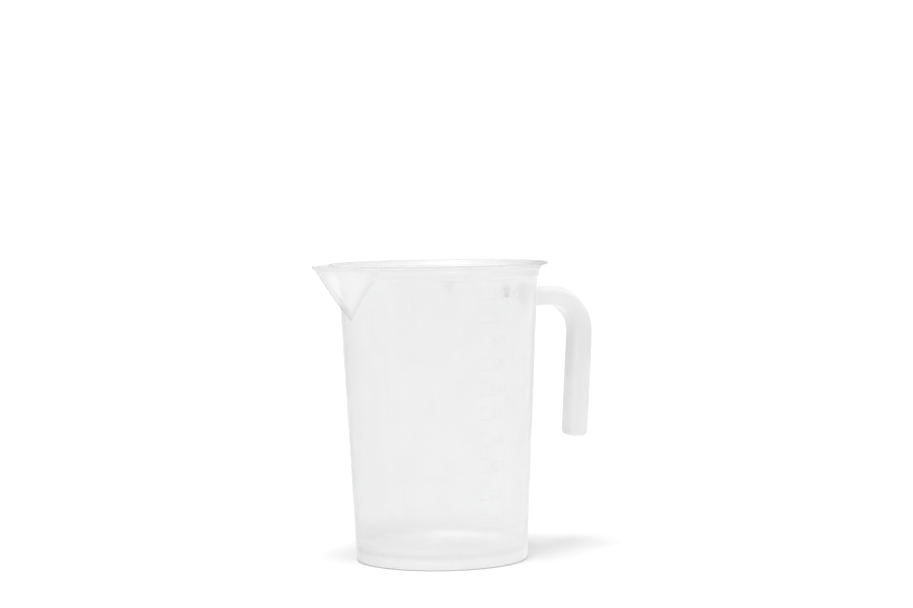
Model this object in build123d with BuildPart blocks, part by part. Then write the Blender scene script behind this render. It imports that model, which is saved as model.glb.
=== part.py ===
from build123d import *
from math import cos, degrees, pi, radians, sin, tan
import os

# A one litre moulded measuring beaker: a tapered thin wall on a raised floor, a flared rim drawn out
# into a V-shaped pouring spout, and an open handle that hangs from the wall by its arm alone.
# The vessel's axis is Z and the plane it stands on is z = 0. The handle points along +X, the spout
# along -X, and the raised scale is centred on the -Y side. All lengths are in millimetres.

# Vessel, where a radius of the wall is measured at the outer face and wall_slope is its growth per
# millimetre of height
height = 160.0
base_radius = 46.25
wall_slope = tan(radians(2.8))
wall = 1.4
floor_underside = 5.0
floor_top = 6.4
cove_radius = 3.0
foot_inner_radius = 43.6
foot_inner_rounding = 0.4
foot_outer_rounding = 1.4

# Rim: a band that stands proud of the wall, then a trumpet flare out to a thin lip
band_bottom = 152.0
band_step_top = 153.2
band_proud = 0.85
flare_start = 153.8
flare_middle = (1.15, 157.2)
lip_radius = 59.4
lip_thickness = 1.1
lip_edge_rounding = lip_thickness / 2
outer_flare_bows = (0.22, 0.34)
inner_flare_start = 154.8
inner_flare_middle = (1.1, 158.6)
inner_flare_end_radius = 57.2
inner_flare_bows = (0.25, 0.3)

# Spout: a V-section cone that opens from a point on the wall up to the rim
spout_apex_height = 130.4
spout_reach = 75.0
spout_half_angle = 45.0
spout_nose_radius = 2.0
spout_bulge = 0.05
spout_stations = (0.02, 0.3, 0.6)
spout_back = 38.0
spout_inner_lift = 3.2
spout_lip_overhang = 1.1
spout_lip_flare_start = 0.05
spout_lip_flare_end = 0.7
spout_lip_flare_height = 2.2
spout_lip_rounding = 0.5

# Handle
handle_width = 10.4
handle_rounding = 3.0
arm_top = 145.1
arm_underside = 134.8
arm_joint_radius = 57.5
grip_depth = 13.0
grip_reference_height = 125.0
grip_centre_radius = 89.9
grip_lean = tan(radians(3.9))
grip_end_height = 61.3
grip_end_rounding = 2.5
elbow_outer_radius = 25.0
elbow_inner_radius = 15.0
elbow_bottom = 116.0
root_flare = 2.4

# Small lugs inside the wall that keep nested beakers from jamming
lug_angles = (-74.5, 55.0, 140.0)
lug_tip_height = 142.4
lug_height = 6.0
lug_width = 8.0
lug_tip_width = 1.2
lug_depth = 0.9
lug_top_depth = 0.3

# Raised scale
mark_proud = 0.4
line_thickness = 0.6
scale_start_angle = -94.5
major_line_angle = 14.0
minor_line_angle = 6.5
numeral_start_angle = -86.5
numeral_gap = 0.9
numeral_height = 4.1
numeral_width = 2.0
numeral_stroke = 0.65
numeral_pitch = 3.1
numeral_step = 100
unit_place = 4.4
full_volume = 1000

# Gate mark under the floor
gate_radius = 1.6
gate_height = 0.8
gate_taper = 15

# Centre lines of the numerals and letters, in a box 2 wide and 4 high, with a corner radius for each
numerals = {
    "0": [([(0, 0), (2, 0), (2, 4), (0, 4)], 0.9, True)],
    "1": [([(0.4, 3.1), (1.2, 4), (1.2, 0)], 0, False)],
    "2": [([(0, 3), (0, 4), (2, 4), (2, 2.5), (0, 0), (2, 0)], (0.7, 0.8, 0.8, 0.35), False)],
    "3": [
        ([(0, 4), (1.9, 4), (1.9, 2.1), (0.6, 2.1)], 0.75, False),
        ([(0.6, 2.1), (2, 2.1), (2, 0), (0, 0)], 0.8, False),
    ],
    "4": [([(1.2, 4), (0, 1.1), (2.1, 1.1)], 0.35, False), ([(1.5, 2.6), (1.5, 0)], 0, False)],
    "5": [([(1.8, 4), (0.2, 4), (0.1, 2.4), (2, 2.4), (2, 0), (0, 0)], (0.35, 0.35, 0.8, 0.8), False)],
    "6": [
        ([(0, 0), (2, 0), (2, 2.4), (0, 2.4)], 0.85, True),
        ([(0, 1.2), (0, 4), (1.8, 4)], 0.9, False),
    ],
    "7": [([(0, 4), (2, 4), (0.8, 0)], 0, False)],
    "8": [
        ([(0, 0), (2, 0), (2, 2.1), (0, 2.1)], 0.85, True),
        ([(0.15, 2.1), (1.85, 2.1), (1.85, 4), (0.15, 4)], 0.75, True),
    ],
    "9": [
        ([(0, 1.6), (2, 1.6), (2, 4), (0, 4)], 0.85, True),
        ([(2, 2.8), (2, 0), (0.2, 0)], 0.9, False),
    ],
    "m": [
        ([(0, 0), (0, 2.6), (1.2, 2.6), (1.2, 0)], (0.35, 0.5), False),
        ([(1.0, 2.6), (2.4, 2.6), (2.4, 0)], 0.5, False),
    ],
    "l": [([(0.6, 4), (0.6, 0)], 0, False)],
}

os.makedirs("parts", exist_ok=True)


def outer_radius(z):
    """Radius of the wall's outer face at height z."""
    return base_radius + wall_slope * z


def inner_radius(z):
    """Radius of the wall's inner face at height z."""
    return outer_radius(z) - wall


def level_for(volume_ml):
    """Height of the liquid's surface when the beaker holds this volume."""
    start = inner_radius(floor_top)
    cubed = start**3 + 3 * wall_slope * volume_ml * 1000 / pi
    return (cubed ** (1 / 3) - inner_radius(0)) / wall_slope


def save(node, name):
    """Label a finished piece and write its STEP."""
    node.part.label = name
    export_step(node.part, f"parts/{name}.step")


def outer_flare():
    """Outer curve of the rim, from the top of the band out to the underside of the lip's edge."""
    start = (outer_radius(flare_start) + band_proud, flare_start)
    middle = (start[0] + flare_middle[0], flare_middle[1])
    SagittaArc(start, middle, outer_flare_bows[0])
    SagittaArc(middle, (lip_radius - lip_edge_rounding, height - lip_thickness), outer_flare_bows[1])


def inner_flare():
    """Inner curve of the rim, from the wall's inner face out to the flat top of the lip."""
    start = (inner_radius(inner_flare_start) + band_proud, inner_flare_start)
    middle = (start[0] + inner_flare_middle[0], inner_flare_middle[1])
    SagittaArc(start, middle, inner_flare_bows[0])
    SagittaArc(middle, (inner_flare_end_radius, height), inner_flare_bows[1])


def lip_edge():
    """The half-round outer edge of the lip, from its underside to its flat top."""
    ThreePointArc(
        (lip_radius - lip_edge_rounding, height - lip_thickness),
        (lip_radius, height - lip_edge_rounding),
        (lip_radius - lip_edge_rounding, height),
    )


# The vessel's outside filled in, which trims whatever joins the wall from outside
with BuildPart() as outer_body:
    with BuildSketch(Plane.XZ):
        with BuildLine():
            Polyline((0, height), (0, 0), (outer_radius(0), 0), (outer_radius(band_bottom), band_bottom))
            Line(
                (outer_radius(band_bottom), band_bottom),
                (outer_radius(band_step_top) + band_proud, band_step_top),
            )
            Line(
                (outer_radius(band_step_top) + band_proud, band_step_top),
                (outer_radius(flare_start) + band_proud, flare_start),
            )
            outer_flare()
            lip_edge()
            Line((lip_radius - lip_edge_rounding, height), (0, height))
        make_face()
    revolve(axis=Axis.Z)

# The space inside the vessel
with BuildPart() as cavity:
    with BuildSketch(Plane.XZ):
        with BuildLine():
            Polyline(
                (inner_flare_end_radius, height),
                (inner_flare_end_radius, height + wall),
                (0, height + wall),
                (0, floor_top),
                (inner_radius(floor_top), floor_top),
                (inner_radius(band_bottom), band_bottom),
                (inner_radius(inner_flare_start) + band_proud, inner_flare_start),
            )
            inner_flare()
        make_face()
    revolve(axis=Axis.Z)


def spout_section(rise, overhang=0.0):
    """The spout's V-shaped outline at a rise from 0 at the apex to 1 at the rim, its nose rounded.

    The outline grows a little faster near the apex, so that the keel is slightly convex.
    """
    scale = rise + 4 * spout_bulge * rise * (1 - rise)
    apex = outer_radius(spout_apex_height)
    back_y = (spout_reach - spout_back) * tan(radians(spout_half_angle))
    corners = [(-spout_reach, 0), (-spout_back, back_y), (-spout_back, -back_y)]
    scaled = [(-apex + (x + apex) * scale, y * scale) for x, y in corners]
    with BuildSketch(mode=Mode.PRIVATE) as outline:
        with BuildLine():
            Polyline(*scaled, close=True)
        make_face()
        nose = outline.vertices().sort_by(Axis.X)[0]
        fillet(nose, spout_nose_radius * scale)
        if overhang:
            offset(amount=overhang)
    return outline.sketch


def spout_form(lift):
    """The spout's outer form as a solid, its apex raised by lift, cut off level with the rim."""
    span = height - spout_apex_height
    with BuildPart() as form:
        for rise in (*spout_stations, (span - lift) / span):
            with BuildSketch(Plane.XY.offset(spout_apex_height + lift + span * rise)):
                add(spout_section(rise))
        loft(ruled=True)
    return form.part


spout_outside = spout_form(0.0)
spout_inside = spout_form(spout_inner_lift)

# Wall: the tapered tube, from the floor's underside up to the rim band, open where the spout joins
with BuildPart() as vessel_wall:
    with BuildSketch(Plane.XZ):
        with BuildLine():
            Polyline(
                (inner_radius(floor_underside), floor_underside),
                (outer_radius(floor_underside), floor_underside),
                (outer_radius(band_bottom), band_bottom),
                (inner_radius(band_bottom), band_bottom),
                close=True,
            )
        make_face()
    revolve(axis=Axis.Z)
    add(spout_outside, mode=Mode.SUBTRACT)
save(vessel_wall, "vessel_wall")

# Floor: a disc raised above the foot, with a cove where it runs into the wall
with BuildPart() as vessel_floor:
    cove_top = floor_top + cove_radius
    cove_inner = inner_radius(cove_top) - cove_radius
    bulge = cove_radius * sin(radians(45))
    with BuildSketch(Plane.XZ):
        with BuildLine():
            Polyline(
                (cove_inner, floor_top),
                (0, floor_top),
                (0, floor_underside),
                (inner_radius(floor_underside), floor_underside),
                (inner_radius(cove_top), cove_top),
            )
            ThreePointArc(
                (inner_radius(cove_top), cove_top),
                (cove_inner + bulge, cove_top - bulge),
                (cove_inner, floor_top),
            )
        make_face()
    revolve(axis=Axis.Z)
save(vessel_floor, "vessel_floor")

# Foot: the skirt below the floor that the beaker stands on
with BuildPart() as foot_ring:
    with BuildSketch(Plane.XZ) as foot_profile:
        with BuildLine():
            Polyline(
                (foot_inner_radius, 0),
                (outer_radius(0), 0),
                (outer_radius(floor_underside), floor_underside),
                (foot_inner_radius, floor_underside),
                close=True,
            )
        make_face()
        bottom_corners = foot_profile.vertices().group_by(Axis.Y)[0].sort_by(Axis.X)
        fillet(bottom_corners[0], foot_inner_rounding)
        fillet(bottom_corners[-1], foot_outer_rounding)
    revolve(axis=Axis.Z)
save(foot_ring, "foot_ring")

# Rim: the band and the flared lip, open where the spout joins
with BuildPart() as rim_lip:
    with BuildSketch(Plane.XZ):
        with BuildLine():
            Polyline(
                (inner_radius(inner_flare_start) + band_proud, inner_flare_start),
                (inner_radius(band_bottom), band_bottom),
                (outer_radius(band_bottom), band_bottom),
                (outer_radius(band_step_top) + band_proud, band_step_top),
                (outer_radius(flare_start) + band_proud, flare_start),
            )
            outer_flare()
            lip_edge()
            Line((lip_radius - lip_edge_rounding, height), (inner_flare_end_radius, height))
            inner_flare()
        make_face()
    revolve(axis=Axis.Z)
    add(spout_outside, mode=Mode.SUBTRACT)
save(rim_lip, "rim_lip")

# Spout: the V-shaped beak, its inside open to the vessel
with BuildPart() as pouring_spout:
    add(spout_outside)
    add(spout_inside, mode=Mode.SUBTRACT)
    add(cavity.part, mode=Mode.SUBTRACT)
save(pouring_spout, "pouring_spout")

# Spout lip: the rim's thin lip carried on round the beak
with BuildPart() as spout_lip:
    lip_underside = height - lip_thickness
    flare_bottom = lip_underside - spout_lip_flare_height
    span = height - spout_apex_height
    for level, overhang in ((flare_bottom, spout_lip_flare_start), (lip_underside, spout_lip_flare_end)):
        with BuildSketch(Plane.XY.offset(level)):
            add(spout_section((level - spout_apex_height) / span, overhang))
    loft(ruled=True)
    with BuildSketch(Plane.XY.offset(lip_underside)):
        add(spout_section(1.0, spout_lip_overhang))
    extrude(amount=lip_thickness)
    lip_top = spout_lip.faces().sort_by(Axis.Z)[-1]
    fillet(lip_top.edges().sort_by(Axis.X)[:1], spout_lip_rounding)
    add(spout_outside, mode=Mode.SUBTRACT)
    add(outer_body.part, mode=Mode.SUBTRACT)
save(spout_lip, "spout_lip")


def grip_radius(z):
    """Distance of the grip's centre line from the vessel's axis at height z."""
    return grip_centre_radius + grip_lean * (z - grip_reference_height)


# The whole handle in side view, from inside the wall round the elbow to the free end of the grip
with BuildPart() as handle:
    half = grip_depth / 2
    end_drop = grip_lean * half
    with BuildSketch(Plane.XZ) as side_view:
        with BuildLine():
            Polyline(
                (base_radius, arm_underside),
                (base_radius, arm_top),
                (grip_radius(arm_top) + half, arm_top),
                (grip_radius(grip_end_height) + half, grip_end_height - end_drop),
                (grip_radius(grip_end_height) - half, grip_end_height + end_drop),
                (grip_radius(arm_underside) - half, arm_underside),
                close=True,
            )
        make_face()
        outer_corner = side_view.vertices().group_by(Axis.Y)[-1].sort_by(Axis.X)[-1]
        fillet(outer_corner, elbow_outer_radius)
        inner_corner = side_view.vertices().sort_by_distance(
            (grip_radius(arm_underside) - half, arm_underside)
        )[0]
        fillet(inner_corner, elbow_inner_radius)
        fillet(side_view.vertices().sort_by(Axis.Y)[:2], grip_end_rounding)
    extrude(amount=handle_width / 2, both=True)
    side_faces = handle.faces().filter_by(Axis.Y)
    rim_edges = side_faces.edges().filter_by(lambda e: e.center().X > base_radius + 0.1)
    fillet(rim_edges, handle_rounding)

joint_plane = Plane((arm_joint_radius, 0, 0), z_dir=(1, 0, 0))
elbow_plane = Plane((0, 0, elbow_bottom), z_dir=(0, 0, 1))

# Handle root: the flared foot of the arm, blended onto the wall
with BuildPart() as handle_root:
    arm_middle = (arm_top + arm_underside) / 2
    arm_depth = arm_top - arm_underside
    wall_face = outer_radius(arm_underside) - wall / 2
    for radius, flare in ((wall_face, root_flare), (arm_joint_radius, 0.0)):
        section_plane = Plane((radius, 0, arm_middle), x_dir=(0, 1, 0), z_dir=(1, 0, 0))
        with BuildSketch(section_plane):
            RectangleRounded(handle_width + 2 * flare, arm_depth + 2 * flare, handle_rounding)
    loft(ruled=True)
    add(outer_body.part, mode=Mode.SUBTRACT)
save(handle_root, "handle_root")

# Handle arm: from the root round the elbow
with BuildPart() as handle_arm:
    add(handle.part)
    split(bisect_by=joint_plane, keep=Keep.TOP)
    split(bisect_by=elbow_plane, keep=Keep.TOP)
save(handle_arm, "handle_arm")

# Handle grip: the straight part the fingers close round, free at its lower end
with BuildPart() as handle_grip:
    add(handle.part)
    split(bisect_by=elbow_plane, keep=Keep.BOTTOM)
save(handle_grip, "handle_grip")

# Stacking lugs: small wedges inside the wall, wide at the top and pointed at the bottom
with BuildPart() as stacking_lugs:
    lug_top = lug_tip_height + lug_height
    with BuildSketch(Plane.XZ):
        with BuildLine():
            Polyline(
                (inner_radius(lug_tip_height) - lug_depth, lug_tip_height),
                (inner_radius(lug_tip_height), lug_tip_height),
                (inner_radius(lug_top), lug_top),
                (inner_radius(lug_top) - lug_top_depth, lug_top),
                close=True,
            )
        make_face()
    revolve(axis=Axis.Z)
    with BuildPart(mode=Mode.PRIVATE) as wedges:
        for angle in lug_angles:
            outward = (cos(radians(angle)), sin(radians(angle)), 0)
            sideways = (-sin(radians(angle)), cos(radians(angle)), 0)
            with BuildSketch(Plane((0, 0, lug_tip_height), x_dir=sideways, z_dir=outward)):
                with BuildLine():
                    Polyline(
                        (-lug_tip_width / 2, 0),
                        (lug_tip_width / 2, 0),
                        (lug_width / 2, lug_height),
                        (-lug_width / 2, lug_height),
                        close=True,
                    )
                make_face()
            extrude(amount=lip_radius)
    add(wedges.part, mode=Mode.INTERSECT)
save(stacking_lugs, "stacking_lugs")


def scale_line_profile(level):
    """Section of one raised line of the scale, at the angle where the lines start."""
    low, high = level - line_thickness / 2, level + line_thickness / 2
    with BuildSketch(Plane.XZ.rotated((0, 0, scale_start_angle)), mode=Mode.PRIVATE) as section:
        with BuildLine():
            Polyline(
                (outer_radius(low), low),
                (outer_radius(low) + mark_proud, low),
                (outer_radius(high) + mark_proud, high),
                (outer_radius(high), high),
                close=True,
            )
        make_face()
    return section.sketch


# Long scale lines at every hundred millilitres
with BuildPart() as scale_lines_major:
    for volume in range(numeral_step, full_volume + 1, numeral_step):
        revolve(scale_line_profile(level_for(volume)), Axis.Z, major_line_angle)
save(scale_lines_major, "scale_lines_major")

# Short scale lines halfway between them
with BuildPart() as scale_lines_minor:
    for volume in range(numeral_step // 2, full_volume, numeral_step):
        revolve(scale_line_profile(level_for(volume)), Axis.Z, minor_line_angle)
save(scale_lines_minor, "scale_lines_minor")


def character_sketch(character, level, angle):
    """One character's strokes, standing on a level, in a plane just inside the wall at an angle."""
    unit = numeral_width / 2
    rise = numeral_height / 4
    outward = Vector(cos(radians(angle)), sin(radians(angle)), 0)
    sideways = (-outward.Y, outward.X, 0)
    origin = outward * (outer_radius(level) - wall) + Vector(0, 0, level)
    with BuildSketch(Plane(origin, x_dir=sideways, z_dir=outward), mode=Mode.PRIVATE) as strokes:
        for points, corner, closed in numerals[character]:
            placed = [(x * unit, y * rise) for x, y in points]
            with BuildLine():
                if corner:
                    FilletPolyline(*placed, radius=corner, close=closed)
                else:
                    Polyline(*placed, close=closed)
            trace(line_width=numeral_stroke)
    return strokes.sketch


def text_sketches(text, level, start_place=0.0):
    """The characters of a text, side by side round the wall, from a number of places along."""
    pitch_angle = degrees(numeral_pitch / outer_radius(level))
    return [
        character_sketch(character, level, numeral_start_angle + (start_place + place) * pitch_angle)
        for place, character in enumerate(text)
    ]


# The thin skin over the wall that the raised characters are cut from
with BuildPart() as mark_skin:
    with BuildSketch(Plane.XZ):
        with BuildLine():
            Polyline(
                (outer_radius(floor_underside), floor_underside),
                (outer_radius(floor_underside) + mark_proud, floor_underside),
                (outer_radius(band_bottom) + mark_proud, band_bottom),
                (outer_radius(band_bottom), band_bottom),
                close=True,
            )
        make_face()
    revolve(axis=Axis.Z)

# Numerals that stand on the long lines
with BuildPart() as scale_numerals:
    for volume in range(numeral_step, full_volume + 1, numeral_step):
        baseline = level_for(volume) + line_thickness / 2 + numeral_gap
        for strokes in text_sketches(str(volume), baseline):
            extrude(strokes, amount=2 * wall)
    add(mark_skin.part, mode=Mode.INTERSECT)
save(scale_numerals, "scale_numerals")

# The unit, after the highest numeral
with BuildPart() as unit_mark:
    baseline = level_for(full_volume) + line_thickness / 2 + numeral_gap
    for strokes in text_sketches("ml", baseline, unit_place):
        extrude(strokes, amount=2 * wall)
    add(mark_skin.part, mode=Mode.INTERSECT)
save(unit_mark, "unit_mark")

# Gate mark: the small nub left under the floor where the plastic was fed in
with BuildPart() as gate_mark:
    with BuildSketch(Plane.XY.offset(floor_underside)):
        Circle(gate_radius)
    extrude(amount=-gate_height, taper=gate_taper)
save(gate_mark, "gate_mark")
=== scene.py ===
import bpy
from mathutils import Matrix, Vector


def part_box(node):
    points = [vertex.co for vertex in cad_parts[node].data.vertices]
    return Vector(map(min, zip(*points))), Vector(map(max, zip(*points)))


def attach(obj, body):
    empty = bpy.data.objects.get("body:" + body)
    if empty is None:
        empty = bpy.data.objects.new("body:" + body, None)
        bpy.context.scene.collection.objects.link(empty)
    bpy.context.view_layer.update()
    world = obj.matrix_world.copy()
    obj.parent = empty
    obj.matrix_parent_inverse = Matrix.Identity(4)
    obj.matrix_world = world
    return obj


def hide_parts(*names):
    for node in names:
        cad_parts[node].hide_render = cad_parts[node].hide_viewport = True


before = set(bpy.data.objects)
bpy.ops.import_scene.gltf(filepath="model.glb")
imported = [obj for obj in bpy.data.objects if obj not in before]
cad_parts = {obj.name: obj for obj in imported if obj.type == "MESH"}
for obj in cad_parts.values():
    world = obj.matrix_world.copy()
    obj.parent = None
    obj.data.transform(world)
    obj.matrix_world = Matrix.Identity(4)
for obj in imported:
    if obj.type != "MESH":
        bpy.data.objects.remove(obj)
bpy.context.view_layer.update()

from math import atan2, cos, degrees, exp, hypot, pi, radians, sin, sqrt, tan

import bmesh
import bpy
from mathutils import Matrix, Vector

MM = 0.001

# ---------------------------------------------------------------------------------------------
# Sizes in millimetres. What the imported nodes' boxes say is read from them; the rest repeats the
# CAD. The strengths for the creases, the step, the lip, the floor and the grip are of painted
# shade, which darkens the colour a little at a crease, an edge or a place where shade falls.
# Angles round the axis are in degrees.
# ---------------------------------------------------------------------------------------------


def low_corner(node):
    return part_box(node)[0] / MM


def high_corner(node):
    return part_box(node)[1] / MM


foot_high = high_corner("foot_ring")
wall_high = high_corner("vessel_wall")
rim_high = high_corner("rim_lip")
grip_low = low_corner("handle_grip")
grip_high = high_corner("handle_grip")

HEIGHT = rim_high.z
LIP_RADIUS = rim_high.y
UNDERSIDE = foot_high.z
BAND_BOTTOM = wall_high.z
SLOPE = (wall_high.x - foot_high.x) / (BAND_BOTTOM - UNDERSIDE)
BASE_RADIUS = foot_high.x - SLOPE * UNDERSIDE
WALL = 1.4
FLOOR_TOP = UNDERSIDE + 1.4
# painted shade over the floor's top, fading out up the cove
FLOOR_PAINTED_SHADE = 0.33
COVE = 3.0  # radius between the floor and the wall, inside
FOOT_INNER = 43.6
FOOT_OUTER_ROUNDING = 1.4
FOOT_INNER_ROUNDING = 0.4
FOOT_FADE_TOP = 18.0  # the "foot" attribute is 0 above this height
FOOT_FADE = 12.0  # and rises to 1 over this length below it

STEP_TOP = BAND_BOTTOM + 1.2
STEP_MIDDLE = (BAND_BOTTOM + STEP_TOP) / 2
# painted shade along the step under the rim band, outside
STEP_PAINTED_SHADE = 0.2
STEP_PAINTED_SHADE_REACH = 0.6
BAND_PROUD = 0.85
LIP_THICKNESS = 1.1
LIP_INNER = 57.2
OUTER_LIP = (3.5, 0.2)  # how far below the top the painted shade on the lip reaches outside, and its strength
INNER_LIP = (7.5, 0.35)  # the same inside
LIP_PAINTED_SHADE_FADE = 2.0

SPOUT_APEX = 130.4
SPOUT_REACH = 75.0
SPOUT_NOSE = 2.0
SPOUT_BULGE = 0.05
SPOUT_LIFT = 3.2  # the beak's inside is the outside's V this much higher
BEAK_OVERHANG = 1.1
BEAK_ROWS = SPOUT_APEX - 4  # above this height a row can carry the beak
BEAK_HALF_ANGLE = 60
CREASE_SOFTNESS = 0.7
# painted shade along the beak's creases, and a painted dark line down its keel this wide
CREASE_PAINTED_SHADE = 0.3
CREASE_PAINTED_SHADE_REACH = 0.9
KEEL_PAINTED_SHADE_WIDTH = 1.0

# columns of the shell: half the width of each zone round the beak and the step inside it
KEEL_ZONE, KEEL_STEP = 5.0, 0.25
BEAK_ZONE, BEAK_STEP = 39.0, 0.5
WALL_STEP = 1.5
CENTRE_HOLE = 0.5  # radius of the rings that close on the axis


def outer_radius(z):
    return BASE_RADIUS + SLOPE * z


def inner_radius(z):
    return outer_radius(z) - WALL


def smooth_max(a, b, softness):
    """The larger of two lengths, with the corner between them blended."""
    h = max(softness - abs(a - b), 0.0) / softness
    return max(a, b) + h * h * softness / 4


def spout_radius(theta, z, offset):
    """Distance from the axis to the beak's V, moved outward by offset, at an angle from -X."""
    rise = (z - SPOUT_APEX) / (HEIGHT - SPOUT_APEX)
    scale = rise + 4 * SPOUT_BULGE * rise * (1 - rise)
    apex = outer_radius(SPOUT_APEX)
    tip = apex + (SPOUT_REACH - apex) * scale
    nose = max(SPOUT_NOSE * scale, 0.3)
    centre = tip - nose * sqrt(2)
    reach = tip + offset * sqrt(2)
    nose = max(nose + offset, 0.2)
    side = nose / sqrt(2)
    if abs(theta) < atan2(side, centre + side):
        return centre * cos(theta) + sqrt(max(nose * nose - (centre * sin(theta)) ** 2, 0.0))
    return reach / (cos(theta) + abs(sin(theta)))


def rounded(points, steps=5):
    """A path with rounded corners. Each point ends with the length that its corner takes off."""
    path = [tuple(points[0][:-1])]
    for before, corner, after in zip(points, points[1:], points[2:]):
        trim = corner[-1]
        here = corner[:-1]
        if not trim:
            path.append(tuple(here))
            continue
        ends = []
        for other in (before, after):
            length = hypot(other[0] - here[0], other[1] - here[1])
            share = min(trim / length, 0.499)
            ends.append([h + (o - h) * share for h, o in zip(here, other)])
        for i in range(steps + 1):
            t = i / steps
            path.append(tuple(
                (1 - t) ** 2 * a + 2 * t * (1 - t) * h + t * t * b
                for a, h, b in zip(ends[0], here, ends[1])
            ))
    path.append(tuple(points[-1][:-1]))
    return path


def divided(path, longest):
    """The path with its long steps divided, so that no step is longer than longest(z)."""
    out = [path[0]]
    for a, b in zip(path, path[1:]):
        length = hypot(b[0] - a[0], b[1] - a[1])
        count = max(1, int(length / longest((a[1] + b[1]) / 2) + 0.999))
        for i in range(1, count + 1):
            t = i / count
            out.append(tuple(p + (q - p) * t for p, q in zip(a, b)))
    return out


def mesh_piece(name, verts, faces, sharp=40.0):
    """A closed mesh object in metres from points in millimetres."""
    mesh = bpy.data.meshes.new(name)
    mesh.from_pydata([(x * MM, y * MM, z * MM) for x, y, z in verts], [], faces)
    bm = bmesh.new()
    bm.from_mesh(mesh)
    bmesh.ops.recalc_face_normals(bm, faces=bm.faces)
    for face in bm.faces:
        face.smooth = True
    for edge in bm.edges:
        edge.smooth = edge.calc_face_angle(0.0) < radians(sharp)
    bm.to_mesh(mesh)
    bm.free()
    piece = bpy.data.objects.new(name, mesh)
    bpy.context.scene.collection.objects.link(piece)
    return piece


# ---------------------------------------------------------------------------------------------
# The shell: foot, floor, wall, rim band, lip and beak as one skin, closed all round
# ---------------------------------------------------------------------------------------------

def shell_rows():
    """Rows of the shell's section, from the middle of the floor's underside, up the outside, over
    the lip and down the inside to the floor's middle.

    A row is its radius, its height, the height at which it meets the beak's V and the V's offset.
    The points below end with the rounding of their corner.
    """
    o = outer_radius
    i = inner_radius
    cove_top = FLOOR_TOP + COVE
    lip_under = HEIGHT - LIP_THICKNESS
    edge = LIP_THICKNESS / 2
    flare_start = STEP_TOP + 0.6
    flare_out = o(flare_start) + BAND_PROUD
    flare_in = i(flare_start) + BAND_PROUD
    z_in = HEIGHT - SPOUT_LIFT
    section = [
        (CENTRE_HOLE, UNDERSIDE, 0, 0, 0),
        (FOOT_INNER, UNDERSIDE, UNDERSIDE, 0, 0.6),
        (FOOT_INNER, 0, 0, 0, FOOT_INNER_ROUNDING),
        (o(0), 0, 0, 0, FOOT_OUTER_ROUNDING),
        (o(UNDERSIDE), UNDERSIDE, UNDERSIDE, 0, 0),
        (o(BEAK_ROWS), BEAK_ROWS, BEAK_ROWS, 0, 0),
        (o(BAND_BOTTOM), BAND_BOTTOM, BAND_BOTTOM, 0, 0.25),
        (o(STEP_TOP) + BAND_PROUD, STEP_TOP, STEP_TOP, 0, 0.3),
        (flare_out + 0.05, flare_start, flare_start, 0, 0.3),
        (flare_out + 0.45, flare_start + 2.0, flare_start + 2.0, 0.1, 0.9),
        (flare_out + 1.25, flare_start + 3.6, flare_start + 3.6, 0.35, 1.2),
        (LIP_RADIUS - edge - 1.1, lip_under - 0.45, lip_under - 0.45, 0.6, 0.9),
        (LIP_RADIUS, lip_under - 0.02, lip_under, BEAK_OVERHANG, 0.42),
        (LIP_RADIUS, HEIGHT, HEIGHT, BEAK_OVERHANG, 0.5),
        (LIP_INNER, HEIGHT, z_in, 0, 0.5),
        (flare_in + 1.75, HEIGHT - 1.5, z_in - 1.5, 0, 1.0),
        (flare_in + 0.75, HEIGHT - 3.4, z_in - 3.4, 0, 1.0),
        (flare_in + 0.1, HEIGHT - 5.4, z_in - 5.4, 0, 0.6),
        (i(BAND_BOTTOM), BAND_BOTTOM, BAND_BOTTOM - SPOUT_LIFT, 0, 0.8),
        (i(BEAK_ROWS), BEAK_ROWS, BEAK_ROWS - SPOUT_LIFT, 0, 0),
        (i(cove_top), cove_top, FLOOR_TOP, 0, 0),
    ]
    path = rounded(section)
    centre = i(cove_top) - COVE
    cove_steps = 8
    for step in range(1, cove_steps + 1):
        turn = pi / 2 * step / cove_steps
        path.append((centre + COVE * cos(turn), cove_top - COVE * sin(turn), FLOOR_TOP, 0))
    path.append((CENTRE_HOLE, FLOOR_TOP, FLOOR_TOP, 0))

    def longest(z):
        if z > BEAK_ROWS - 1:
            return 0.75
        return 4.0 if z > cove_top else 3.0

    return divided(path, longest)


def shell_angles():
    """Angles of the shell's columns from -X, close together round the beak."""
    angles = []
    degree = -180.0
    while degree < 180.0 - 1e-6:
        angles.append(radians(degree))
        if abs(degree + 0.05) < KEEL_ZONE:
            degree += KEEL_STEP
        elif -BEAK_ZONE - 1e-6 <= degree < BEAK_ZONE - 1e-6:
            degree += BEAK_STEP
        else:
            degree += WALL_STEP
        degree = round(degree, 3)
    return angles


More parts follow.
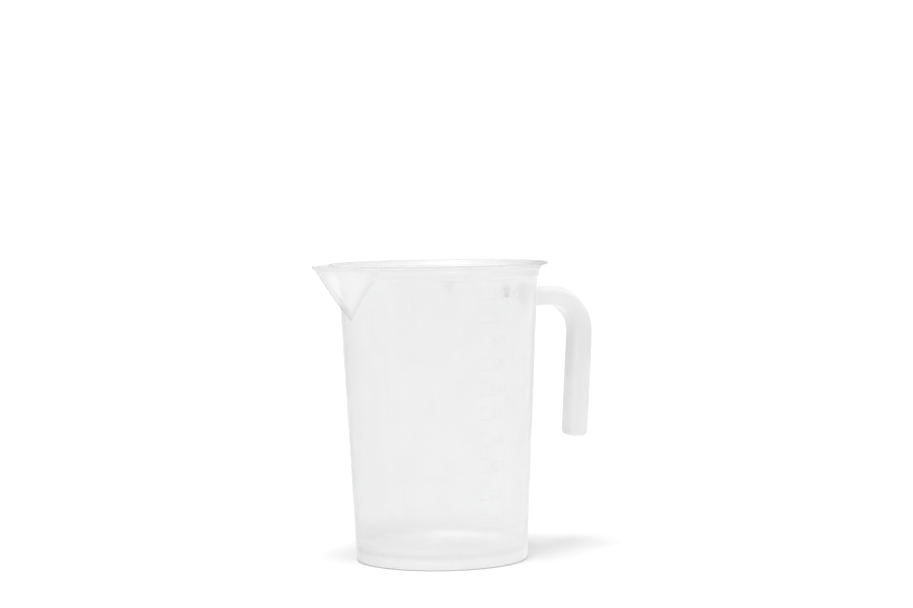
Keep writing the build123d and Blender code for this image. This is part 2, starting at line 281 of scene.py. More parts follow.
def build_shell():
    """The shell with two attributes: painted shade at creases, edges and the floor, foot near the
    floor.
    """
    rows = shell_rows()
    angles = shell_angles()
    columns = len(angles)
    peak = max(range(len(rows)), key=lambda row: rows[row][1])
    verts, faces, painted_shades, feet = [], [], [], []
    for index, (radius, z, z_beak, offset) in enumerate(rows):
        # painted shade over the lip and down the flare below it, further down inside
        reach, strength = INNER_LIP if index > peak else OUTER_LIP
        edge_painted_shade = strength * min(max((z - HEIGHT + reach) / LIP_PAINTED_SHADE_FADE, 0.0), 1.0)
        # painted shade on the floor's top and up the cove
        if index > peak:
            edge_painted_shade = max(edge_painted_shade, FLOOR_PAINTED_SHADE * (FLOOR_TOP + COVE - z) / COVE)
        # painted shade along the step under the band, on the outside only
        step_painted_shade = STEP_PAINTED_SHADE * exp(-((z - STEP_MIDDLE) / STEP_PAINTED_SHADE_REACH) ** 2)
        outside = radius > outer_radius(z) - 0.5
        for theta in angles:
            r = radius
            painted_shade = 0.0
            if z > BEAK_ROWS and abs(theta) < radians(BEAK_HALF_ANGLE):
                beak_r = spout_radius(theta, z_beak, offset)
                r = smooth_max(radius, beak_r, CREASE_SOFTNESS)
                # painted shade along the beak's creases, and a painted dark line down the keel
                if z_beak > SPOUT_APEX:
                    painted_shade = CREASE_PAINTED_SHADE * exp(-((beak_r - radius) / CREASE_PAINTED_SHADE_REACH) ** 2)
                    if beak_r > radius:
                        painted_shade = max(painted_shade, exp(-(theta * r / KEEL_PAINTED_SHADE_WIDTH) ** 2))
            verts.append((-r * cos(theta), r * sin(theta), z))
            painted_shade = max(painted_shade, edge_painted_shade)
            if outside and r < radius + 0.1:
                painted_shade = max(painted_shade, step_painted_shade)
            painted_shades.append(painted_shade)
            feet.append(min(max((FOOT_FADE_TOP - z) / FOOT_FADE, 0.0), 1.0))
    for row in range(len(rows) - 1):
        for column in range(columns):
            a = row * columns + column
            b = row * columns + (column + 1) % columns
            faces.append((a, b, b + columns, a + columns))
    for row in (0, len(rows) - 1):
        centre = len(verts)
        verts.append((0, 0, rows[row][1]))
        # the floor's centre carries its painted shade
        painted_shades.append(FLOOR_PAINTED_SHADE if row else 0.0)
        feet.append(1.0)
        for column in range(columns):
            a = row * columns + column
            b = row * columns + (column + 1) % columns
            faces.append((a, b, centre))
    piece = mesh_piece("beaker_shell", verts, faces)
    # the first attribute is painted shade, the second the foot's share near the floor
    for attribute, values in (("painted_shade", painted_shades), ("foot", feet)):
        piece.data.attributes.new(attribute, "FLOAT", "POINT").data.foreach_set("value", values)
    return piece


shell = build_shell()
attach(shell, "root")
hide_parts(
    "vessel_wall", "vessel_floor", "foot_ring", "rim_lip", "pouring_spout", "spout_lip",
)

# ---------------------------------------------------------------------------------------------
# The handle: one smooth form from the wall round the elbow to the free end of the grip
# ---------------------------------------------------------------------------------------------
ARM_TOP = high_corner("handle_arm").z
ARM_UNDER = 134.8
GRIP_DEPTH = 13.0
GRIP_WIDTH = grip_high.y - grip_low.y
GRIP_REFERENCE = 125.0  # the height at which the grip's middle is at GRIP_RADIUS
GRIP_RADIUS = 89.9
GRIP_LEAN = tan(radians(3.9))
GRIP_END = grip_low.z
ELBOW_OUTER = 25.0
ELBOW_INNER = 15.0
ROOT_FLARE = 2.4
ROOT_FLARE_LENGTH = 3.2
ROOT_GAP = 0.02  # between the wall and the face of the handle that lies on it
OUTER_ROUNDING = 3.6  # of the section's edges away from the fingers
INNER_ROUNDING = 1.7  # and of those next to them
END_ROUNDING = 3.3
END_DOME = 0.5
# painted shade on the upper part of the grip: its strength, the height of its middle and its reach
GRIP_PAINTED_SHADE = 0.05
GRIP_SHADE_PLACE = 112.0
GRIP_SHADE_REACH = 20.0
ARM_STEPS = 16
ELBOW_STEPS = 26
GRIP_STEPS = 30
END_STEPS = 8
CORNER_STEPS = 8
SIDE_STEPS = 4


def corner_arc(before, corner, after, radius, count):
    """Points of a round corner between two straight runs, ends included."""
    corner = Vector(corner)
    a = (Vector(before) - corner).normalized()
    b = (Vector(after) - corner).normalized()
    half = a.angle(b) / 2
    start = corner + a * radius / tan(half)
    centre = corner + (a + b).normalized() * radius / sin(half)
    end = corner + b * radius / tan(half)
    from_angle = atan2(start.y - centre.y, start.x - centre.x)
    to_angle = atan2(end.y - centre.y, end.x - centre.x)
    sweep = (to_angle - from_angle + pi) % (2 * pi) - pi
    return [
        (centre.x + radius * cos(from_angle + sweep * k / count),
         centre.y + radius * sin(from_angle + sweep * k / count))
        for k in range(count + 1)
    ]


def blend_points(a, b, t):
    return tuple(p + (q - p) * t for p, q in zip(a, b))


def section_ring(half_depth, half_width, trim):
    """The handle's section: rounder on its outer side than on the side next to the fingers."""
    corners = (
        (1, 1, OUTER_ROUNDING), (-1, 1, INNER_ROUNDING),
        (-1, -1, INNER_ROUNDING), (1, -1, OUTER_ROUNDING),
    )

    def corner_point(corner, turn):
        su, sv, rounding = corner
        r = min(max(rounding - trim, 0.6), half_depth - 0.05, half_width - 0.05)
        return su * (half_depth - r) + r * cos(turn), sv * (half_width - r) + r * sin(turn)

    ring = []
    for place, corner in enumerate(corners):
        start = place * pi / 2
        for k in range(CORNER_STEPS + 1):
            ring.append(corner_point(corner, start + pi / 2 * k / CORNER_STEPS))
        here, there = ring[-1], corner_point(corners[(place + 1) % 4], start + pi / 2)
        ring += [blend_points(here, there, k / SIDE_STEPS) for k in range(1, SIDE_STEPS)]
    return ring


def handle_stations():
    """Stations along the handle: its outer point, its inner point, the root's flare there and the
    cosine of the turn over the rounded end, which is 1 elsewhere."""
    half = GRIP_DEPTH / 2

    def grip_x(z, side):
        return GRIP_RADIUS + GRIP_LEAN * (z - GRIP_REFERENCE) + side * half

    end_drop = GRIP_LEAN * half
    outer_corner = (grip_x(ARM_TOP, 1), ARM_TOP)
    inner_corner = (grip_x(ARM_UNDER, -1), ARM_UNDER)
    outer_end = (grip_x(GRIP_END, 1), GRIP_END)
    inner_end = (grip_x(GRIP_END, -1), GRIP_END + 2 * end_drop)
    wall_x = outer_radius((ARM_TOP + ARM_UNDER) / 2) + ROOT_GAP
    outer_bend = corner_arc((wall_x, ARM_TOP), outer_corner, outer_end, ELBOW_OUTER, ELBOW_STEPS)
    inner_bend = corner_arc((wall_x, ARM_UNDER), inner_corner, inner_end, ELBOW_INNER, ELBOW_STEPS)
    stations = []
    for k in range(ARM_STEPS):
        t = (k / ARM_STEPS) ** 1.7  # closer together at the root
        outer = blend_points((wall_x, ARM_TOP), outer_bend[0], t)
        inner = blend_points((wall_x, ARM_UNDER), inner_bend[0], t)
        left = max(1 - (outer[0] - wall_x) / ROOT_FLARE_LENGTH, 0.0)
        stations.append((outer, inner, ROOT_FLARE * (1 - sqrt(1 - left * left)), 1.0))
    for outer, inner in zip(outer_bend, inner_bend):
        stations.append((outer, inner, 0.0, 1.0))

    def along_grip(t, end):
        outer = blend_points(outer_bend[-1], outer_end, t)
        inner = blend_points(inner_bend[-1], inner_end, t)
        stations.append((outer, inner, 0.0, end))

    for k in range(1, GRIP_STEPS):
        along_grip(k / GRIP_STEPS * 0.96, 1.0)
    length = hypot(outer_end[0] - outer_bend[-1][0], outer_end[1] - outer_bend[-1][1])
    for k in range(1, END_STEPS + 1):
        turn = pi / 2 * k / END_STEPS
        short = (END_ROUNDING + END_DOME) * (1 - sin(turn)) - END_DOME
        along_grip(1 - short / length, cos(turn))
    return stations


def build_handle():
    stations = handle_stations()
    verts, faces = [], []
    for index, (outer, inner, flare, end) in enumerate(stations):
        middle = ((outer[0] + inner[0]) / 2, (outer[1] + inner[1]) / 2)
        across = Vector((outer[0] - inner[0], outer[1] - inner[1]))
        depth = across.length
        across.normalize()
        trim = END_ROUNDING * (1 - end)
        half_depth = depth / 2 + flare - trim
        half_width = GRIP_WIDTH / 2 + flare - trim
        ring = section_ring(half_depth, half_width, trim)
        around = len(ring)
        for u, v in ring:
            x = middle[0] + across.x * u
            z = middle[1] + across.y * u
            if index == 0:
                x = sqrt((outer_radius(z) + ROOT_GAP) ** 2 - v * v)
            verts.append((x, v, z))
    for row in range(len(stations) - 1):
        for column in range(around):
            a = row * around + column
            b = row * around + (column + 1) % around
            faces.append((a, b, b + around, a + around))
    # each end is closed by a fan
    for row in (0, len(stations) - 1):
        ring = [row * around + column for column in range(around)]
        middle_x = sum(verts[i][0] for i in ring) / around
        middle_z = sum(verts[i][2] for i in ring) / around
        if row == 0:
            middle_x = outer_radius(middle_z) + ROOT_GAP
        centre = len(verts)
        verts.append((middle_x, 0.0, middle_z))
        for column in range(around):
            faces.append((ring[column], ring[(column + 1) % around], centre))
    piece = mesh_piece("handle_form", verts, faces, 50.0)
    # painted shade on the upper part of the grip
    grip_painted_shades = [
        GRIP_PAINTED_SHADE * exp(-(((z - GRIP_SHADE_PLACE) / GRIP_SHADE_REACH) ** 2)) for _, _, z in verts
    ]
    piece.data.attributes.new("painted_shade", "FLOAT", "POINT").data.foreach_set("value", grip_painted_shades)
    return piece


handle = build_handle()
joint_x = (outer_radius(ARM_TOP) + 0.1) * MM  # the face that lies on the wall is nearer than this
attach(handle, "root")
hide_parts("handle_root", "handle_arm", "handle_grip")

# ---------------------------------------------------------------------------------------------
# Raised marks: soft-edged strokes wrapped round the wall
# ---------------------------------------------------------------------------------------------
MARK_PROUD = 0.4
MARK_SUNK = 0.06
MARK_BACK = (  # a stroke's section: places across its width, and heights as shares of MARK_PROUD
    (-0.46, 0.5), (-0.34, 0.85), (-0.12, 1.0), (0.12, 1.0), (0.34, 0.85), (0.46, 0.5),
)
STROKE_STEP = 0.6
STROKE_END_STEPS = 4
LINE_THICKNESS = 0.6
LINE_STEPS = 24
SCALE_START = -94.5
MAJOR_ANGLE = 14.0
MINOR_ANGLE = 6.5
NUMERAL_START = -86.5
NUMERAL_GAP = 0.9
NUMERAL_HEIGHT = 4.1
NUMERAL_WIDTH = 2.0
NUMERAL_STROKE = 0.65
NUMERAL_PITCH = 3.1
UNIT_PLACE = 4.4

# each character's strokes: points on a grid 2 wide and 4 high, the rounding of the corners and
# whether the stroke is closed
NUMERALS = {
    "0": [([(0, 0), (2, 0), (2, 4), (0, 4)], 0.9, True)],
    "1": [([(0.4, 3.1), (1.2, 4), (1.2, 0)], 0, False)],
    "2": [([(0, 3), (0, 4), (2, 4), (2, 2.5), (0, 0), (2, 0)], 0.7, False)],
    "3": [
        ([(0, 4), (1.9, 4), (1.9, 2.1), (0.6, 2.1)], 0.75, False),
        ([(0.7, 2.1), (2, 2.1), (2, 0), (0, 0)], 0.8, False),
    ],
    "4": [([(1.2, 4), (0, 1.1), (2.1, 1.1)], 0.2, False), ([(1.5, 2.6), (1.5, 0)], 0, False)],
    "5": [([(1.8, 4), (0.2, 4), (0.1, 2.4), (2, 2.4), (2, 0), (0, 0)], 0.5, False)],
    "6": [
        ([(0, 0), (2, 0), (2, 2.4), (0, 2.4)], 0.85, True),
        ([(0.04, 1.2), (0.04, 4), (1.8, 4)], 0.9, False),
    ],
    "7": [([(0, 4), (2, 4), (0.8, 0)], 0, False)],
    "8": [
        ([(0, 0), (2, 0), (2, 2.1), (0, 2.1)], 0.85, True),
        ([(0.15, 2.1), (1.85, 2.1), (1.85, 4), (0.15, 4)], 0.75, True),
    ],
    "9": [
        ([(0, 1.6), (2, 1.6), (2, 4), (0, 4)], 0.85, True),
        ([(1.96, 2.8), (1.96, 0), (0.2, 0)], 0.9, False),
    ],
    "m": [
        ([(0, 0), (0, 2.6), (1.2, 2.6), (1.2, 0)], 0.4, False),
        ([(1.0, 2.6), (2.4, 2.6), (2.4, 0)], 0.5, False),
    ],
    "l": [([(0.6, 4), (0.6, 0)], 0, False)],
}


def level_for(volume_ml):
    """Height of the liquid's surface when the beaker holds this volume."""
    start = inner_radius(FLOOR_TOP)
    cubed = start**3 + 3 * SLOPE * volume_ml * 1000 / pi
    return (cubed ** (1 / 3) - inner_radius(0)) / SLOPE


def stroke_path(points, trim, closed):
    """A character's stroke as an even path with rounded corners."""
    if closed:
        first = blend_points(points[0], points[1], 0.5)
        points = [first] + points[1:] + [points[0], first]
    path = rounded([(*p, trim) for p in points], 6)
    out = [path[0]]
    for a, b in zip(path, path[1:]):
        length = hypot(b[0] - a[0], b[1] - a[1])
        if length < 1e-4:
            continue
        count = max(1, int(length / STROKE_STEP + 0.99))
        out += [blend_points(a, b, k / count) for k in range(1, count + 1)]
    return out[:-1] if closed else out


def add_stroke(verts, faces, path, closed, angle, base_level, width):
    """Adds a raised stroke with a rounded back, wrapped on the wall.

    The path's points are their places across and up from an angle and a level on the wall.
    """
    back = [(u, share * MARK_PROUD) for u, share in MARK_BACK]
    profile = [(-0.5, -MARK_SUNK)] + back + [(0.5, -MARK_SUNK)]
    count = len(path)
    stations = []
    for k, (s, h) in enumerate(path):
        if closed:
            a, b = path[k - 1], path[(k + 1) % count]
        else:
            a, b = path[max(k - 1, 0)], path[min(k + 1, count - 1)]
        along = Vector((b[0] - a[0], b[1] - a[1])).normalized()
        stations.append((Vector((s, h)), along, 1.0))
    if not closed:
        # the two ends are round in plan
        rounded_ends = []
        for place, sign in ((0, -1), (-1, 1)):
            point, along, _ = stations[place]
            turns = [pi / 2 * k / STROKE_END_STEPS for k in range(1, STROKE_END_STEPS + 1)]
            rounded_ends.append([
                (point + along * sign * width / 2 * sin(turn), along, max(cos(turn), 0.02))
                for turn in turns
            ])
        stations = rounded_ends[0][::-1] + stations + rounded_ends[1]
    base = len(verts)
    ring = len(profile)
    for point, along, scale in stations:
        across = Vector((-along.y, along.x))
        for u, lift in profile:
            p = point + across * (u * width * scale)
            z = base_level + p.y
            raised = lift if lift < 0 else lift * (0.55 + 0.45 * scale)
            r = outer_radius(z) + raised
            turn = radians(angle) + p.x / outer_radius(base_level)
            verts.append((r * cos(turn), r * sin(turn), z))
    rows = len(stations)
    last = rows if closed else rows - 1
    for row in range(last):
        nxt = (row + 1) % rows
        for k in range(ring):
            a, b = base + row * ring + k, base + row * ring + (k + 1) % ring
            c, d = base + nxt * ring + (k + 1) % ring, base + nxt * ring + k
            faces.append((a, b, c, d))
    if not closed:
        faces.append(tuple(base + k for k in range(ring)))
        faces.append(tuple(base + (rows - 1) * ring + k for k in reversed(range(ring))))


def build_text(name, texts):
    """Texts as one piece: each is its characters, its baseline and its first place."""
    verts, faces = [], []
    for text, text_level, first_place in texts:
        for place, character in enumerate(text):
            across = (first_place + place) * NUMERAL_PITCH
            angle = NUMERAL_START + degrees(across / outer_radius(text_level))
            for points, trim, closed in NUMERALS[character]:
                scaled = [(x * NUMERAL_WIDTH / 2, y * NUMERAL_HEIGHT / 4) for x, y in points]
                path = stroke_path(scaled, trim, closed)
                add_stroke(verts, faces, path, closed, angle, text_level, NUMERAL_STROKE)
    return mesh_piece(name, verts, faces, 60.0)


def build_lines(name, volumes, sweep):
    """The scale's lines at these volumes as one piece, each over an angle of sweep."""
    verts, faces = [], []
    for volume in volumes:
        line_level = level_for(volume)
        length = radians(sweep) * outer_radius(line_level)
        start = LINE_THICKNESS / 2
        path = [
            (start + (length - 2 * start) * k / LINE_STEPS, 0.0) for k in range(LINE_STEPS + 1)
        ]
        add_stroke(verts, faces, path, False, SCALE_START, line_level, LINE_THICKNESS)
    return mesh_piece(name, verts, faces, 60.0)


def baseline(volume):
    return level_for(volume) + LINE_THICKNESS / 2 + NUMERAL_GAP


long_lines = build_lines("scale_long_lines", range(100, 1001, 100), MAJOR_ANGLE)
short_lines = build_lines("scale_short_lines", range(50, 1000, 100), MINOR_ANGLE)
numbers = build_text("scale_numbers", [(str(v), baseline(v), 0.0) for v in range(100, 1001, 100)])
unit = build_text("unit_letters", [("ml", baseline(1000), UNIT_PLACE)])
for piece, node in (
    (long_lines, "scale_lines_major"),
    (short_lines, "scale_lines_minor"),
    (numbers, "scale_numerals"),
    (unit, "unit_mark"),
):
    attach(piece, "root")
    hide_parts(node)

# ---------------------------------------------------------------------------------------------
# Stacking lugs: wedges inside the wall, pointed below
# ---------------------------------------------------------------------------------------------
LUG_ANGLES = (-74.5, 55.0, 140.0)
LUG_TIP = 142.4
LUG_HEIGHT = 6.0
LUG_WIDTH = 8.0
LUG_TIP_WIDTH = 1.2
LUG_DEPTH = 0.9
LUG_TOP_DEPTH = 0.3
LUG_SOFT_EDGE = 0.5
LUG_SUNK = 0.05
# how far above each lug's tip its painted shade reaches
LUG_SHADE_REACH = 0.9
LUG_STEPS = 14


def build_lugs():
    verts, faces, tip_painted_shades = [], [], []
    rows = columns = LUG_STEPS
    for angle in LUG_ANGLES:
        base = len(verts)
        for face_in in (True, False):
            for row in range(rows + 1):
                t = row / rows
                z = LUG_TIP + LUG_HEIGHT * t
                half = (LUG_TIP_WIDTH + (LUG_WIDTH - LUG_TIP_WIDTH) * t) / 2
                depth = LUG_DEPTH + (LUG_TOP_DEPTH - LUG_DEPTH) * t
                for column in range(columns + 1):
                    s = 2 * column / columns - 1
                    edge = min((1 - abs(s)) * half, z - LUG_TIP + 0.12, LUG_SOFT_EDGE)
                    soft = sqrt(max(1 - (1 - edge / LUG_SOFT_EDGE) ** 2, 0.0))
                    r = inner_radius(z) - (depth * soft if face_in else -LUG_SUNK)
                    turn = radians(angle) + s * half / inner_radius(z)
                    verts.append((r * cos(turn), r * sin(turn), z))
                    # painted shade at each lug's tip
                    tip_painted_shades.append(exp(-(((z - LUG_TIP) / LUG_SHADE_REACH) ** 2)))
        sheet = (rows + 1) * (columns + 1)

        def at(side, row, column):
            return base + side * sheet + row * (columns + 1) + column

        for side in (0, 1):
            for row in range(rows):
                for column in range(columns):
                    quad = (at(side, row, column), at(side, row, column + 1),
                            at(side, row + 1, column + 1), at(side, row + 1, column))
                    faces.append(quad if side == 0 else quad[::-1])
        for row in range(rows):
            for column in (0, columns):
                faces.append((at(0, row, column), at(0, row + 1, column),
                              at(1, row + 1, column), at(1, row, column)))
        for column in range(columns):
            for row in (0, rows):
                faces.append((at(0, row, column), at(0, row, column + 1),
                              at(1, row, column + 1), at(1, row, column)))
    piece = mesh_piece("stacking_lug_wedges", verts, faces, 50.0)
    piece.data.attributes.new("painted_shade", "FLOAT", "POINT").data.foreach_set("value", tip_painted_shades)
    return piece


lugs = build_lugs()
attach(lugs, "root")
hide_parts("stacking_lugs")

# ---------------------------------------------------------------------------------------------
# Materials
# ---------------------------------------------------------------------------------------------


class Nodes:
    """A material's or world's node tree, with short ways to add and link nodes."""

    def __init__(self, owner):
        owner.use_nodes = True
        self.tree = owner.node_tree
        self.tree.nodes.clear()

    def add(self, kind, **settings):
        node = self.tree.nodes.new(kind)
        for key, value in settings.items():
            setattr(node, key, value)
        return node

    def link(self, out, into):
        self.tree.links.new(out, into)

    def noise(self, vector, scale, detail=2.0, roughness=0.5):
        node = self.add("ShaderNodeTexNoise")
        node.inputs["Scale"].default_value = scale
        node.inputs["Detail"].default_value = detail
        node.inputs["Roughness"].default_value = roughness
        self.link(vector, node.inputs["Vector"])
        return node.outputs["Fac"]

    def ranged(self, value, low, high, from_low=0.3, from_high=0.7):
        node = self.add("ShaderNodeMapRange")
        limits = {"From Min": from_low, "From Max": from_high, "To Min": low, "To Max": high}
        for name, number in limits.items():
            node.inputs[name].default_value = number
        self.link(value, node.inputs["Value"])
        return node.outputs["Result"]

    def maths(self, operation, a, b):
        node = self.add("ShaderNodeMath", operation=operation)
        for socket, value in zip(node.inputs, (a, b)):
            if isinstance(value, (int, float)):
                socket.default_value = value
            else:
                self.link(value, socket)
        return node.outputs[0]

    def stretched(self, vector, scale):
        node = self.add("ShaderNodeMapping")
        node.inputs["Scale"].default_value = scale
        self.link(vector, node.inputs["Vector"])
        return node.outputs["Vector"]

    def tint(self, value, dark, light):
        node = self.add("ShaderNodeMix", data_type="RGBA")
        node.inputs["A"].default_value = (*dark, 1)
        node.inputs["B"].default_value = (*light, 1)
        self.link(value, node.inputs["Factor"])
        return node.outputs["Result"]


def milky_plastic(name, cover, dark, light, through, rough, bump,
                  gloss=1.0, absorb=0.0, painted_shade_strength=0.0):
    """Natural polypropylene: light scatters in it and partly passes, under a satin moulded skin.

    cover is the share of light that one surface scatters, through the part of that share which goes
    on inward, and dark and light are the greys between which it is mottled. rough is the gloss's
    roughness, bump the relief's depth in millimetres, gloss the strength of the gloss, absorb the
    density of the absorption inside the piece, and the last argument how strongly the attribute of
    painted shade darkens the colour; where that painted shade is set, the surface is also less
    clear and less glossy.
    """
    material = bpy.data.materials.new(name)
    n = Nodes(material)
    where = n.add("ShaderNodeTexCoord").outputs["Object"]
    clouds = n.noise(where, 38.0, 3.0, 0.55)
    flow = n.noise(n.stretched(where, (1.0, 1.0, 0.16)), 150.0, 3.0, 0.6)
    grain = n.noise(where, 5200.0, 2.0, 0.6)
    ripple = n.noise(n.stretched(where, (1.0, 1.0, 0.35)), 520.0, 2.0, 0.5)

    mottling = n.maths("ADD", n.maths("MULTIPLY", clouds, 0.65), n.maths("MULTIPLY", flow, 0.35))
    colour = n.tint(n.ranged(mottling, 0.0, 1.0, 0.35, 0.65), (dark,) * 3, (light,) * 3)
    share = n.ranged(mottling, cover - 0.006, cover + 0.006, 0.35, 0.65)
    # painted shade: where the attribute is set, the colour turns towards a dark grey and the
    # surface is less clear
    if painted_shade_strength:
        painted_shade = n.add("ShaderNodeAttribute", attribute_name="painted_shade").outputs["Fac"]
        foot = n.add("ShaderNodeAttribute", attribute_name="foot").outputs["Fac"]
        painted_shade_mix = n.add("ShaderNodeMix", data_type="RGBA")
        n.link(n.maths("MULTIPLY", painted_shade, painted_shade_strength), painted_shade_mix.inputs["Factor"])
        n.link(colour, painted_shade_mix.inputs["A"])
        painted_shade_mix.inputs["B"].default_value = (0.15, 0.15, 0.15, 1)
        colour = painted_shade_mix.outputs["Result"]
        painted_shade_squared = n.maths("MULTIPLY", painted_shade, painted_shade)
        share = n.maths("ADD", share, n.maths("MULTIPLY", painted_shade_squared, 0.45))
        share = n.maths("ADD", share, n.maths("MULTIPLY", foot, 0.6))
    roughness = n.ranged(clouds, rough - 0.04, rough + 0.04)
    roughness = n.maths("ADD", roughness, n.ranged(grain, -0.03, 0.03))

    uneven = n.maths("ADD", n.maths("MULTIPLY", grain, 0.25), n.maths("MULTIPLY", ripple, 0.75))
    relief = n.add("ShaderNodeBump")
    relief.inputs["Strength"].default_value = 0.35
    relief.inputs["Distance"].default_value = bump * MM
    n.link(uneven, relief.inputs["Height"])

    milk = n.add("ShaderNodeBsdfPrincipled")
    milk.inputs["Specular IOR Level"].default_value = 0.0
    n.link(colour, milk.inputs["Base Color"])
    n.link(roughness, milk.inputs["Roughness"])
    n.link(relief.outputs["Normal"], milk.inputs["Normal"])
    glow = n.add("ShaderNodeBsdfTranslucent")
    n.link(colour, glow.inputs["Color"])
    n.link(relief.outputs["Normal"], glow.inputs["Normal"])
    body = n.add("ShaderNodeMixShader")
    body.inputs["Fac"].default_value = through
    if painted_shade_strength:
        n.link(n.maths("SUBTRACT", through, n.maths("MULTIPLY", foot, 0.36)), body.inputs["Fac"])
    n.link(milk.outputs["BSDF"], body.inputs[1])
    n.link(glow.outputs["BSDF"], body.inputs[2])

    clear = n.add("ShaderNodeBsdfTransparent")
    inside = n.add("ShaderNodeMixShader")
    n.link(share, inside.inputs["Fac"])
    n.link(clear.outputs["BSDF"], inside.inputs[1])
    n.link(body.outputs["Shader"], inside.inputs[2])

    shine = n.add("ShaderNodeBsdfGlossy")
    shine.inputs["Color"].default_value = (1.0, 1.0, 1.0, 1.0)
    n.link(roughness, shine.inputs["Roughness"])
    n.link(relief.outputs["Normal"], shine.inputs["Normal"])
    facing = n.add("ShaderNodeLayerWeight").outputs["Facing"]
    mirrored = n.ranged(n.maths("POWER", facing, 5.0), 0.04 * gloss, 0.9 * gloss, 0.0, 1.0)
    # less gloss where shade is painted
    if painted_shade_strength:
        mirrored = n.maths("MULTIPLY", mirrored, n.maths("SUBTRACT", 1.0, painted_shade))
    surface = n.add("ShaderNodeMixShader")
    n.link(mirrored, surface.inputs["Fac"])
    n.link(inside.outputs["Shader"], surface.inputs[1])
    n.link(shine.outputs["BSDF"], surface.inputs[2])
    out = n.add("ShaderNodeOutputMaterial")
    n.link(surface.outputs["Shader"], out.inputs["Surface"])
    if absorb:
        volume = n.add("ShaderNodeVolumeAbsorption")
        volume.inputs["Color"].default_value = (0.55, 0.55, 0.55, 1)
        volume.inputs["Density"].default_value = absorb
        n.link(volume.outputs["Volume"], out.inputs["Volume"])
    return material


def give(piece, material):
    piece.data.materials.clear()
    piece.data.materials.append(material)


# the last argument sets how far the painted shade darkens each material's colour
wall_material = milky_plastic(
    "milky_wall", cover=0.26, dark=0.962, light=0.972, through=0.45, rough=0.34, bump=0.05,
    absorb=46.0, painted_shade_strength=0.6,
)
handle_material = milky_plastic(
    "milky_handle", cover=0.93, dark=0.915, light=0.93, through=0.5, rough=0.36, bump=0.06,
    painted_shade_strength=0.6,
)
joint_material = milky_plastic(
    "milky_joint", cover=0.03, dark=0.9, light=0.92, through=0.5, rough=0.4, bump=0.02, gloss=0.0,
)
mark_material = milky_plastic(
    "raised_marks", cover=0.06, dark=0.94, light=0.95, through=0.4, rough=0.3, bump=0.03,
    gloss=0.35,
)
# the lugs' tips take their painted shade at full strength
lug_material = milky_plastic(
    "milky_lugs", cover=0.5, dark=0.9, light=0.92, through=0.4, rough=0.3, bump=0.03, painted_shade_strength=1.0,
)
give(shell, wall_material)
give(handle, handle_material)
handle.data.materials.append(joint_material)
for polygon in handle.data.polygons:
    if polygon.center.x < joint_x:
        polygon.material_index = 1
give(lugs, lug_material)
for piece in (long_lines, short_lines, numbers, unit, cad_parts["gate_mark"]):
    give(piece, mark_material)

# ---------------------------------------------------------------------------------------------
# Floor, light and camera
# ---------------------------------------------------------------------------------------------


def build_floor():
    """A wide round table top, its middle finer than its rim."""
    rings = [0.08, 0.16, 0.3, 0.6, 1.2, 2.4, 4.8, 9.0, 16.0]
    around = 72
    turns = [2 * pi * k / around for k in range(around)]
    verts, faces = [(0.0, 0.0, 0.0)], []
    for ring in rings:
        verts += [(ring * cos(turn), ring * sin(turn), 0.0) for turn in turns]
    for k in range(around):
        faces.append((0, 1 + k, 1 + (k + 1) % around))
    for row in range(len(rings) - 1):
        for k in range(around):
            a, b = 1 + row * around + k, 1 + row * around + (k + 1) % around
            faces.append((a, a + around, b + around, b))
    mesh = bpy.data.meshes.new("studio_floor")
    mesh.from_pydata(verts, [], faces)
    floor = bpy.data.objects.new("studio_floor", mesh)
    bpy.context.scene.collection.objects.link(floor)
    material = bpy.data.materials.new("studio_floor")
    n = Nodes(material)
    where = n.add("ShaderNodeTexCoord").outputs["Object"]
    paper = n.noise(where, 900.0, 2.0)
    skin = n.add("ShaderNodeBsdfPrincipled")
    skin.inputs["Specular IOR Level"].default_value = 0.1
    pale = n.tint(n.ranged(paper, 0.0, 1.0), (0.84, 0.84, 0.845), (0.86, 0.86, 0.865))
    n.link(pale, skin.inputs["Base Color"])
    skin.inputs["Emission Color"].default_value = (1.0, 1.0, 1.0, 1.0)
    skin.inputs["Emission Strength"].default_value = 0.04
    n.link(n.ranged(paper, 0.75, 0.85), skin.inputs["Roughness"])
    out = n.add("ShaderNodeOutputMaterial")
    n.link(skin.outputs["BSDF"], out.inputs["Surface"])
    mesh.materials.append(material)
    floor.location.z = -0.0002  # just under the foot ring


build_floor()

STUDIO_LEVEL = 1.3
# areas of the studio's walls: azimuth, elevation, the angles from there at which the area starts to
# fade and ends, in degrees, and how much brighter or darker than STUDIO_LEVEL it is
STUDIO_AREAS = (
    (0, 90, 25, 85, -1.25),
    (-118.5, 4, 10, 42, -0.3),
    (102, 5, 14, 44, -1.2),
    (160, 5, 15, 55, -0.2),
    (61.5, 14, 8, 30, -0.35),
    (0, 10, 15, 38, 0.9),
)
DARKEST_LEVEL = 0.05
BACKDROP_LEVEL = 1.08  # what the camera sees behind the object
KEY_AZIMUTH = -148
KEY_ELEVATION = 80
KEY_STRENGTH = 2.8
KEY_WIDTH = 30  # the angle that the lamp fills, in degrees

world = bpy.data.worlds.new("studio")
bpy.context.scene.world = world
w = Nodes(world)
direction = w.add("ShaderNodeTexCoord").outputs["Generated"]


def facing(azimuth, elevation, inner, outer):
    """1 towards a direction, falling smoothly to 0 between two angles from it."""
    dot = w.add("ShaderNodeVectorMath", operation="DOT_PRODUCT")
    w.link(direction, dot.inputs[0])
    dot.inputs[1].default_value = (
        cos(radians(azimuth)) * cos(radians(elevation)),
        sin(radians(azimuth)) * cos(radians(elevation)),
        sin(radians(elevation)),
    )
    ramp = w.add("ShaderNodeMapRange", interpolation_type="SMOOTHSTEP")
    ramp.inputs["From Min"].default_value = cos(radians(outer))
    ramp.inputs["From Max"].default_value = cos(radians(inner))
    w.link(dot.outputs["Value"], ramp.inputs["Value"])
    return ramp.outputs["Result"]


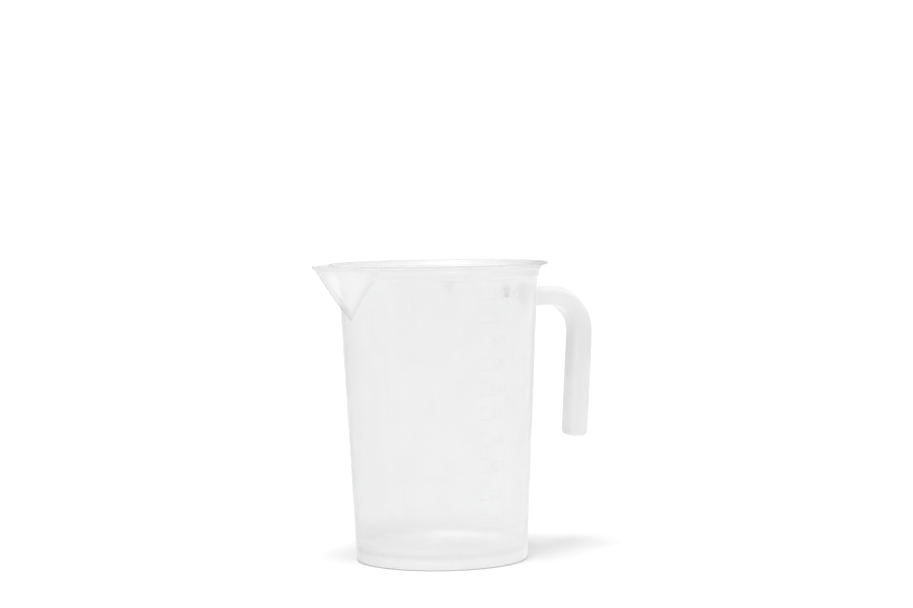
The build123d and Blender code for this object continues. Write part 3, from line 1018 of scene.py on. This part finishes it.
level = STUDIO_LEVEL
for azimuth, elevation, inner, outer, change in STUDIO_AREAS:
    area = w.maths("MULTIPLY", facing(azimuth, elevation, inner, outer), change)
    level = w.maths("ADD", level, area)
level = w.maths("MAXIMUM", level, DARKEST_LEVEL)
strength = w.add("ShaderNodeMix", data_type="FLOAT")
w.link(w.add("ShaderNodeLightPath").outputs["Is Camera Ray"], strength.inputs["Factor"])
w.link(level, strength.inputs["A"])
strength.inputs["B"].default_value = BACKDROP_LEVEL
background = w.add("ShaderNodeBackground")
background.inputs["Color"].default_value = (1.0, 1.0, 1.0, 1.0)
w.link(strength.outputs["Result"], background.inputs["Strength"])
world_out = w.add("ShaderNodeOutputWorld")
w.link(background.outputs["Background"], world_out.inputs["Surface"])

key = bpy.data.lights.new("key", "SUN")
key.energy = KEY_STRENGTH
key.angle = radians(KEY_WIDTH)
key_lamp = bpy.data.objects.new("key", key)
bpy.context.scene.collection.objects.link(key_lamp)
key_azimuth, key_elevation = radians(KEY_AZIMUTH), radians(KEY_ELEVATION)
toward_key = Vector((
    cos(key_azimuth) * cos(key_elevation), sin(key_azimuth) * cos(key_elevation), sin(key_elevation)
))
key_lamp.location = toward_key * 2
key_lamp.rotation_euler = toward_key.to_track_quat("Z", "Y").to_euler()

CAMERA_AZIMUTH = -28.5  # from -Y, turned towards -X
CAMERA_DISTANCE = 1.2963
CAMERA_HEIGHT = 0.2024
AIM_ASIDE = 0.0097
AIM_HEIGHT = 0.1375
CAMERA_ROLL = 0.80
FOCAL_PIXELS = 2406.0
FRAME_WIDTH = 913  # the picture's width in pixels

camera_data = bpy.data.cameras.new("camera")
camera_data.sensor_width = 36.0
camera_data.lens = FOCAL_PIXELS * camera_data.sensor_width / FRAME_WIDTH
camera_data.clip_start = 0.05
camera_data.clip_end = 100.0
camera = bpy.data.objects.new("camera", camera_data)
bpy.context.scene.collection.objects.link(camera)
a = radians(CAMERA_AZIMUTH)
position = Vector((sin(a) * CAMERA_DISTANCE, -cos(a) * CAMERA_DISTANCE, CAMERA_HEIGHT))
aim = Vector((AIM_ASIDE * cos(a), AIM_ASIDE * sin(a), AIM_HEIGHT))
forward = (aim - position).normalized()
right = forward.cross(Vector((0, 0, 1))).normalized()
up = right.cross(forward)
roll = radians(CAMERA_ROLL)
right, up = right * cos(roll) - up * sin(roll), right * sin(roll) + up * cos(roll)
camera.matrix_world = Matrix((
    (right.x, up.x, -forward.x, position.x),
    (right.y, up.y, -forward.y, position.y),
    (right.z, up.z, -forward.z, position.z),
    (0, 0, 0, 1),
))
bpy.context.scene.camera = camera
bpy.context.scene.view_settings.view_transform = "Standard"
bpy.context.scene.cycles.max_bounces = 16
bpy.context.scene.cycles.diffuse_bounces = 8
bpy.context.scene.cycles.transparent_max_bounces = 48
